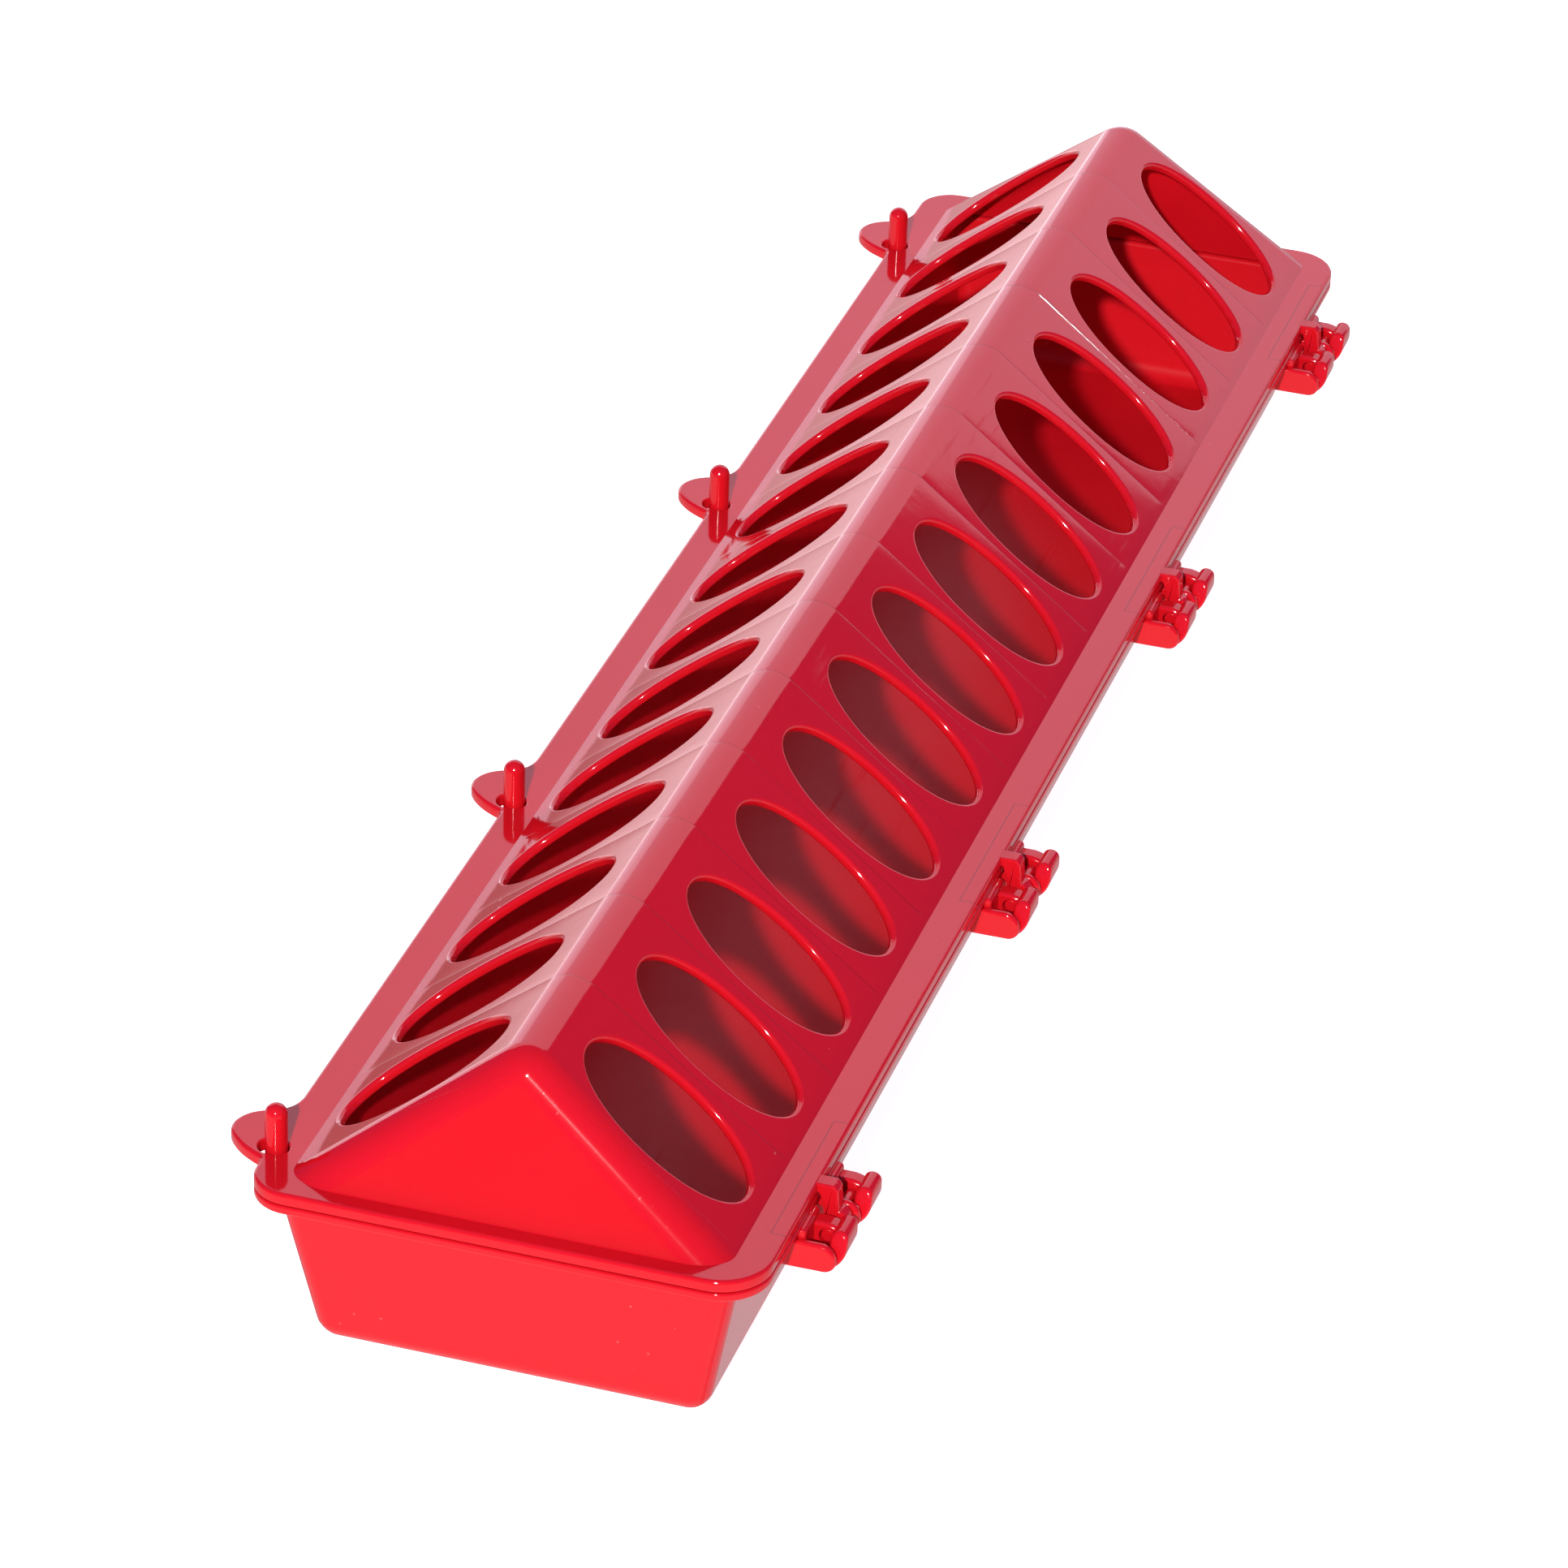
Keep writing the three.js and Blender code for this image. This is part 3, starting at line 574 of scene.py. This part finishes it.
# --------------------------------------------------------------------- materials
def plastic(name, seed, roof_lines=False, trough=False):
    """Glossy red moulded plastic: slow colour drift, fine surface ripple, light scuffs, dust specks and the fine witness lines of the mould."""
    mat = bpy.data.materials.new(name)
    mat.use_nodes = True
    nt = mat.node_tree
    nodes, links = nt.nodes, nt.links
    nodes.clear()

    def node(kind, **values):
        n = nodes.new(kind)
        for key, value in values.items():
            setattr(n, key, value)
        return n

    def math_node(operation, a, b=None, c=None, clamp=False):
        n = node("ShaderNodeMath", operation=operation, use_clamp=clamp)
        for i, value in enumerate((a, b, c)):
            if value is None:
                continue
            if isinstance(value, (int, float)):
                n.inputs[i].default_value = value
            else:
                links.new(value, n.inputs[i])
        return n.outputs[0]

    out = node("ShaderNodeOutputMaterial")
    bsdf = node("ShaderNodeBsdfPrincipled")
    links.new(bsdf.outputs[0], out.inputs[0])
    where = node("ShaderNodeTexCoord").outputs["Object"]
    offset = node("ShaderNodeVectorMath", operation="ADD")
    offset.inputs[1].default_value = (seed, seed * 0.7, -seed * 0.3)
    links.new(where, offset.inputs[0])
    place = offset.outputs[0]

    def noise(scale, detail=3.0, rough=0.55, stretch=None):
        n = node("ShaderNodeTexNoise")
        n.inputs["Scale"].default_value = scale
        n.inputs["Detail"].default_value = detail
        n.inputs["Roughness"].default_value = rough
        if stretch:
            m = node("ShaderNodeMapping")
            m.inputs["Scale"].default_value = stretch
            links.new(place, m.inputs[0])
            links.new(m.outputs[0], n.inputs["Vector"])
        else:
            links.new(place, n.inputs["Vector"])
        return n.outputs["Fac"]

    def ramp(value, low, high):
        n = node("ShaderNodeMapRange", clamp=True)
        n.inputs["From Min"].default_value = low
        n.inputs["From Max"].default_value = high
        links.new(value, n.inputs["Value"])
        return n.outputs["Result"]

    drift = noise(9.0, 3.0)
    flow = noise(60.0, 4.0, 0.6, (1.0, 0.25, 1.0))
    pigment = node("ShaderNodeMix", data_type="RGBA")
    pigment.inputs["A"].default_value = (0.560, 0.0042, 0.0095, 1)
    pigment.inputs["B"].default_value = (0.660, 0.0070, 0.0145, 1)
    links.new(math_node("ADD", math_node("MULTIPLY", drift, 0.7), math_node("MULTIPLY", flow, 0.3)), pigment.inputs["Factor"])
    color = pigment.outputs["Result"]

    # Dust specks and small nicks.
    cells = node("ShaderNodeTexVoronoi", feature="F1")
    cells.inputs["Scale"].default_value = 240.0
    links.new(place, cells.inputs["Vector"])
    near = ramp(math_node("SUBTRACT", 0.10, cells.outputs["Distance"]), 0.0, 0.03)
    sparse = ramp(noise(34.0, 2.0), 0.60, 0.66)
    speck = math_node("MULTIPLY", near, sparse)
    dusty = node("ShaderNodeMix", data_type="RGBA")
    dusty.inputs["B"].default_value = (0.80, 0.10, 0.11, 1)
    links.new(math_node("MULTIPLY", speck, 0.40), dusty.inputs["Factor"])
    links.new(color, dusty.inputs["A"])
    color = dusty.outputs["Result"]

    # Fine scuffs, mostly along the part.
    scuff = ramp(noise(700.0, 2.0, 0.6, (1.0, 0.05, 1.0)), 0.62, 0.70)
    patches = ramp(noise(22.0, 2.0), 0.50, 0.68)
    scuff = math_node("MULTIPLY", scuff, patches)

    height = math_node("MULTIPLY", noise(900.0, 2.0), 0.0000012)
    height = math_node("ADD", height, math_node("MULTIPLY", noise(120.0, 3.0), 0.000018))
    height = math_node("ADD", height, math_node("MULTIPLY", noise(16.0, 2.0), 0.00010))
    height = math_node("SUBTRACT", height, math_node("MULTIPLY", scuff, 0.000004))
    height = math_node("ADD", height, math_node("MULTIPLY", speck, 0.00002))

    split = node("ShaderNodeSeparateXYZ")
    links.new(where, split.inputs[0])
    x, y, z = split.outputs
    if roof_lines:
        # A hairline between neighbouring holes, running up one slope and down the other.
        bay = math_node("DIVIDE", y, PITCH * 0.001)
        wave = math_node("ABSOLUTE", math_node("SUBTRACT", math_node("FRACT", math_node("ADD", bay, 100.5)), 0.5))
        line = math_node("SUBTRACT", 1.0, ramp(wave, 0.0016, 0.0046))
        above = ramp(z, (FLANGE_TOP + 0.6) * 0.001, (FLANGE_TOP + 1.6) * 0.001)
        ends = math_node("LESS_THAN", math_node("ABSOLUTE", y), 0.222)
        line = math_node("MULTIPLY", math_node("MULTIPLY", line, above), ends)
        broken = ramp(noise(30.0, 2.0), 0.30, 0.52)
        line = math_node("MULTIPLY", line, math_node("ADD", math_node("MULTIPLY", broken, 0.65), 0.35))
        # Insert outlines on the flange by the hinges.
        total = None
        for hinge in HINGE_Y:
            centre = (hinge - 2.0) * 0.001
            dy = math_node("ABSOLUTE", math_node("SUBTRACT", y, centre))
            dx = math_node("SUBTRACT", x, 0.0525)
            across = math_node("MULTIPLY", math_node("SUBTRACT", 1.0, ramp(math_node("ABSOLUTE", dx), 0.00010, 0.00022)), math_node("LESS_THAN", dy, 0.0225))
            along = math_node("MULTIPLY", math_node("SUBTRACT", 1.0, ramp(math_node("ABSOLUTE", math_node("SUBTRACT", dy, 0.0225)), 0.00010, 0.00022)), math_node("GREATER_THAN", dx, 0.0))
            both = math_node("MAXIMUM", across, along)
            total = both if total is None else math_node("MAXIMUM", total, both)
        top = math_node("GREATER_THAN", z, (FLANGE_TOP - 0.2) * 0.001)
        total = math_node("MULTIPLY", total, top)
        line = math_node("MAXIMUM", line, math_node("MULTIPLY", total, 0.8))
        height = math_node("SUBTRACT", height, math_node("MULTIPLY", line, 0.000006))
        # Each bay of the mould sits a hair off its neighbours.
        whole = math_node("FLOOR", math_node("ADD", bay, 100.0))
        hop = node("ShaderNodeTexWhiteNoise", noise_dimensions="1D")
        links.new(whole, hop.inputs["W"])
        tilt = math_node("MULTIPLY", math_node("SUBTRACT", hop.outputs["Value"], 0.5), 0.0040)
        dish = math_node("MULTIPLY", math_node("POWER", 2.718, math_node("MULTIPLY", wave, -15.0)), 0.000040)
        height = math_node("SUBTRACT", height, math_node("MULTIPLY", math_node("MULTIPLY", dish, above), ends))
        tilted = math_node("MULTIPLY", math_node("MULTIPLY", tilt, math_node("SUBTRACT", math_node("FRACT", math_node("ADD", bay, 100.0)), 0.5)), PITCH * 0.001)
        height = math_node("ADD", height, math_node("MULTIPLY", tilted, above))
        dark = node("ShaderNodeMix", data_type="RGBA")
        dark.inputs["B"].default_value = (0.20, 0.002, 0.006, 1)
        links.new(math_node("MULTIPLY", line, 0.75), dark.inputs["Factor"])
        links.new(color, dark.inputs["A"])
        color = dark.outputs["Result"]

    bump = node("ShaderNodeBump")
    bump.inputs["Strength"].default_value = 1.0
    bump.inputs["Distance"].default_value = 1.0
    links.new(height, bump.inputs["Height"])
    links.new(bump.outputs[0], bsdf.inputs["Normal"])
    links.new(color, bsdf.inputs["Base Color"])
    rough = math_node("ADD", math_node("MULTIPLY", noise(40.0, 3.0), 0.04), 0.055)
    rough = math_node("ADD", rough, math_node("MULTIPLY", scuff, 0.16))
    rough = math_node("ADD", rough, math_node("MULTIPLY", speck, 0.3), clamp=True)
    if trough:
        # The inside of the trough is duller: the feed scours it.
        inside = None
        for axis, base, top in ((x, BASE_X, TOP_X), (y, BASE_Y, TOP_Y)):
            edge = math_node("ADD", math_node("MULTIPLY", z, (top - base) / RIM_BOTTOM), (base - WALL / 2) * 0.001)
            within = math_node("LESS_THAN", math_node("ABSOLUTE", axis), edge)
            inside = within if inside is None else math_node("MULTIPLY", inside, within)
        inside = math_node("MULTIPLY", inside, math_node("GREATER_THAN", z, FLOOR * 0.0005))
        rough = math_node("ADD", rough, math_node("MULTIPLY", inside, math_node("ADD", math_node("MULTIPLY", noise(55.0, 3.0), 0.12), 0.22)), clamp=True)
        links.new(math_node("SUBTRACT", 0.5, math_node("MULTIPLY", inside, 0.36)), bsdf.inputs["Specular IOR Level"])
    links.new(rough, bsdf.inputs["Roughness"])
    bsdf.inputs["IOR"].default_value = 1.5
    bsdf.inputs["Subsurface Weight"].default_value = 0.0
    mat.diffuse_color = (0.62, 0.01, 0.02, 1)
    return mat


def floor_material():
    mat = bpy.data.materials.new("floor_white")
    mat.use_nodes = True
    nt = mat.node_tree
    bsdf = nt.nodes["Principled BSDF"]
    tex = nt.nodes.new("ShaderNodeTexNoise")
    tex.inputs["Scale"].default_value = 3.0
    mix = nt.nodes.new("ShaderNodeMix")
    mix.data_type = "RGBA"
    mix.inputs["A"].default_value = (0.90, 0.90, 0.90, 1)
    mix.inputs["B"].default_value = (0.92, 0.92, 0.92, 1)
    nt.links.new(tex.outputs["Fac"], mix.inputs["Factor"])
    nt.links.new(mix.outputs["Result"], bsdf.inputs["Base Color"])
    bsdf.inputs["Roughness"].default_value = 0.9
    bsdf.inputs["Emission Color"].default_value = (1, 1, 1, 1)

    # Painted reflection: what glossy surfaces see of the table is an emission map, grey in front of the object and
    # bright behind it and to its left. Other rays see the white table.
    def new(kind):
        return nt.nodes.new(kind)

    def ramp(value, low, high, a, b):
        n = new("ShaderNodeMapRange")
        n.interpolation_type = "SMOOTHSTEP"
        for key, v in (("From Min", low), ("From Max", high), ("To Min", a), ("To Max", b)):
            n.inputs[key].default_value = v
        nt.links.new(value, n.inputs["Value"])
        return n.outputs["Result"]

    def calc(operation, a, b):
        n = new("ShaderNodeMath")
        n.operation = operation
        for i, v in enumerate((a, b)):
            if isinstance(v, (int, float)):
                n.inputs[i].default_value = v
            else:
                nt.links.new(v, n.inputs[i])
        return n.outputs[0]

    place = new("ShaderNodeSeparateXYZ")
    nt.links.new(new("ShaderNodeNewGeometry").outputs["Position"], place.inputs[0])
    x, y = place.outputs[0], place.outputs[1]
    front = ramp(y, -0.75, -0.27, 0.10, 0.60)
    left = calc("MULTIPLY", ramp(x, -0.20, -0.12, 1.0, 0.0), ramp(y, -0.30, -0.15, 0.0, 1.0))
    pale = calc("ADD", ramp(x, -0.40, -0.22, 1.17, 0.0), ramp(y, 0.12, 0.38, 0.28, 0.80))
    level = calc("ADD", calc("MULTIPLY", front, calc("SUBTRACT", 1.0, left)), calc("MULTIPLY", pale, left))
    seen = new("ShaderNodeEmission")
    seen.inputs["Color"].default_value = (1.0, 0.955, 1.0, 1)
    nt.links.new(level, seen.inputs["Strength"])
    path, blend = new("ShaderNodeLightPath"), new("ShaderNodeMixShader")
    nt.links.new(calc("ADD", 0.55, calc("MULTIPLY", path.outputs["Is Camera Ray"], 0.38)), bsdf.inputs["Emission Strength"])
    nt.links.new(path.outputs["Is Glossy Ray"], blend.inputs[0])
    nt.links.new(bsdf.outputs[0], blend.inputs[1])
    nt.links.new(seen.outputs[0], blend.inputs[2])
    nt.links.new(blend.outputs[0], nt.nodes["Material Output"].inputs[0])
    return mat


# ---------------------------------------------------------------------- assembly
tray = make_tray()
tray.data.materials.append(plastic("tray_plastic_look", 3.1, trough=True))
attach(tray, "tray")
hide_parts("feed_tray")

lid = make_lid()
lid.data.materials.append(plastic("lid_plastic_look", 11.7, roof_lines=True))
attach(lid, "lid")
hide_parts("grille_lid")

# ----------------------------------------------------------------------- studio
floor = mesh_object("floor", [(-9, -9, 0), (9, -9, 0), (9, 9, 0), (-9, 9, 0), (-9, -9, -0.02), (9, -9, -0.02), (9, 9, -0.02), (-9, 9, -0.02)],
                    [(0, 1, 2, 3), (7, 6, 5, 4), (0, 4, 5, 1), (1, 5, 6, 2), (2, 6, 7, 3), (3, 7, 4, 0)])
floor.location.z = -0.0002
floor.data.materials.append(floor_material())


def area(name, direction, distance, size_x, size_y, power, color=(1, 1, 1), aim=(0, 0, 0.04)):
    light = bpy.data.lights.new(name, "AREA")
    light.shape = "RECTANGLE"
    light.size, light.size_y = size_x, size_y
    light.energy = power
    light.color = color
    ob = bpy.data.objects.new(name, light)
    SCENE.collection.objects.link(ob)
    d = Vector(direction).normalized()
    ob.location = Vector(aim) + d * distance
    ob.rotation_mode = "QUATERNION"
    ob.rotation_quaternion = d.to_track_quat("Z", "Y")
    return ob


def radiant(size_x, size_y, radiance):
    """Power in watts of an area light that looks this bright."""
    return radiance * math.pi * size_x * size_y


def panel(name, x0, x1, y, z0, z1, radiance):
    """A lit white screen standing behind the object, facing it."""
    light = bpy.data.lights.new(name, "AREA")
    light.shape = "RECTANGLE"
    light.size, light.size_y = x1 - x0, z1 - z0
    light.energy = radiant(x1 - x0, z1 - z0, radiance)
    light.color = (1.0, 0.95, 1.03)
    ob = bpy.data.objects.new(name, light)
    SCENE.collection.objects.link(ob)
    ob.location = ((x0 + x1) / 2, y, (z0 + z1) / 2)
    ob.rotation_euler = (-math.pi / 2, 0, 0)
    return ob


panel("back_screen", -1.9, 0.51, 1.10, 0.02, 1.5, 1.10)
area("key", (0.139, -0.853, 0.504), 4.5, 0.13, 0.13, radiant(0.13, 0.13, 3850.0))
panel("left_screen", -1.9, -0.44, 1.08, 0.02, 0.62, 0.75)
area("front_soft", (0.10, -1.0, 0.42), 1.9, 1.3, 0.8, radiant(1.3, 0.8, 0.35)).visible_glossy = False
area("back_fill", (-0.25, 0.80, 0.60), 1.9, 1.2, 0.8, radiant(1.2, 0.8, 2.0)).visible_glossy = False
area("top_soft", (-0.15, -0.25, 1.0), 1.9, 1.4, 1.4, radiant(1.4, 1.4, 0.35)).visible_glossy = False

world = bpy.data.worlds.new("studio")
SCENE.world = world
world.use_nodes = True
wt = world.node_tree
wt.nodes.clear()
wo = wt.nodes.new("ShaderNodeOutputWorld")
mix = wt.nodes.new("ShaderNodeMixShader")
dim, pale = wt.nodes.new("ShaderNodeBackground"), wt.nodes.new("ShaderNodeBackground")
dim.inputs["Color"].default_value = (0.60, 0.46, 1.55, 1)
dim.inputs["Strength"].default_value = 0.16
pale.inputs["Color"].default_value = (1, 1, 1, 1)
pale.inputs["Strength"].default_value = 1.0
path = wt.nodes.new("ShaderNodeLightPath")
wt.links.new(path.outputs["Is Camera Ray"], mix.inputs[0])
wt.links.new(dim.outputs[0], mix.inputs[1])
wt.links.new(pale.outputs[0], mix.inputs[2])
wt.links.new(mix.outputs[0], wo.inputs[0])

SCENE.view_settings.view_transform = "Standard"
SCENE.view_settings.look = "None"

# ----------------------------------------------------------------------- camera
az, el, roll = math.radians(16.292), math.radians(30.431), math.radians(2.082)
back = Vector((math.sin(az) * math.cos(el), -math.cos(az) * math.cos(el), math.sin(el)))
right = (-back).cross(Vector((0, 0, 1))).normalized()
up = right.cross(-back)
r2 = math.cos(roll) * right + math.sin(roll) * up
u2 = -math.sin(roll) * right + math.cos(roll) * up
cam = bpy.data.cameras.new("camera")
cam.sensor_width = 36.0
cam.lens = 8897.71 / 1932 * 36.0
cam.clip_start, cam.clip_end = 0.05, 50
camera = bpy.data.objects.new("camera", cam)
SCENE.collection.objects.link(camera)
target = Vector((0.54, -57.33, FLANGE_TOP)) * 0.001
position = target + back * 1.6481
m = Matrix.Identity(4)
for i in range(3):
    m[i][0], m[i][1], m[i][2], m[i][3] = r2[i], u2[i], back[i], position[i]
camera.matrix_world = m
SCENE.camera = camera
